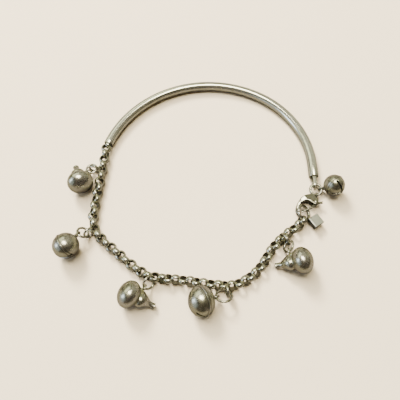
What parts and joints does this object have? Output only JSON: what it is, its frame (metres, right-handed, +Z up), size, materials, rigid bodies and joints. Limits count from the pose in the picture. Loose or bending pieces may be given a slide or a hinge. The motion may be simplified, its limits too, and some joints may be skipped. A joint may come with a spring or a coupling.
{
  "type": "charm bracelet",
  "caption": "Silver bracelet: a bent tube over the wrist, a belcher chain, a lobster clasp, a small square tag, and gourd and bell charms on jump rings.",
  "frame": {"origin": "under the middle of the bracelet's box, on the surface it lies on", "axes": "+Z up from the surface, +X along the bracelet's longer side towards the clasp, +Y towards the middle of the bent tube"},
  "size_m": [0.0734, 0.0684, 0.0066],
  "materials": {
    "polished_silver": "polished, with fine handling scratches",
    "chain_silver": "polished outside, darker where the links meet",
    "cast_silver": "cast and tumbled, soft shine",
    "pale_tag": "matt pale faces, darker edges"
  },
  "bodies": {
    "root": {"bangle_tube": "polished_silver", "bell_clasp": "polished_silver", "bell_left": "polished_silver", "bell_left_ring_a": "polished_silver", "bell_left_ring_b": "polished_silver", "bell_lower": "polished_silver", "bell_lower_ring_a": "polished_silver", "bell_lower_ring_b": "polished_silver", "chain_01": "chain_silver", "chain_02": "chain_silver", "chain_03": "chain_silver", "chain_04": "chain_silver", "chain_05": "chain_silver", "chain_06": "chain_silver", "chain_07": "chain_silver", "chain_08": "chain_silver", "chain_09": "chain_silver", "chain_10": "chain_silver", "chain_11": "chain_silver", "chain_12": "chain_silver", "chain_13": "chain_silver", "chain_14": "chain_silver", "clasp_body": "cast_silver", "clasp_ring": "polished_silver", "end_ring": "polished_silver", "gourd_lower": "polished_silver", "gourd_lower_ring_a": "polished_silver", "gourd_right": "polished_silver", "gourd_right_ring_a": "polished_silver", "gourd_right_ring_b": "polished_silver", "gourd_upper": "polished_silver", "gourd_upper_ring_a": "polished_silver", "gourd_upper_ring_b": "polished_silver", "square_tag": "pale_tag"},
    "clasp_lever": {"clasp_lever": "cast_silver"}
  },
  "joints": [
    {"name": "clasp_lever_hinge", "type": "hinge", "parent": "root", "child": "clasp_lever", "pos_m": [0.02901, -0.00511, 0.00169], "axis": [0, 0, -1], "range_deg": [0, 9], "stiffness_Nm_per_rad": 0.000005}
  ]
}
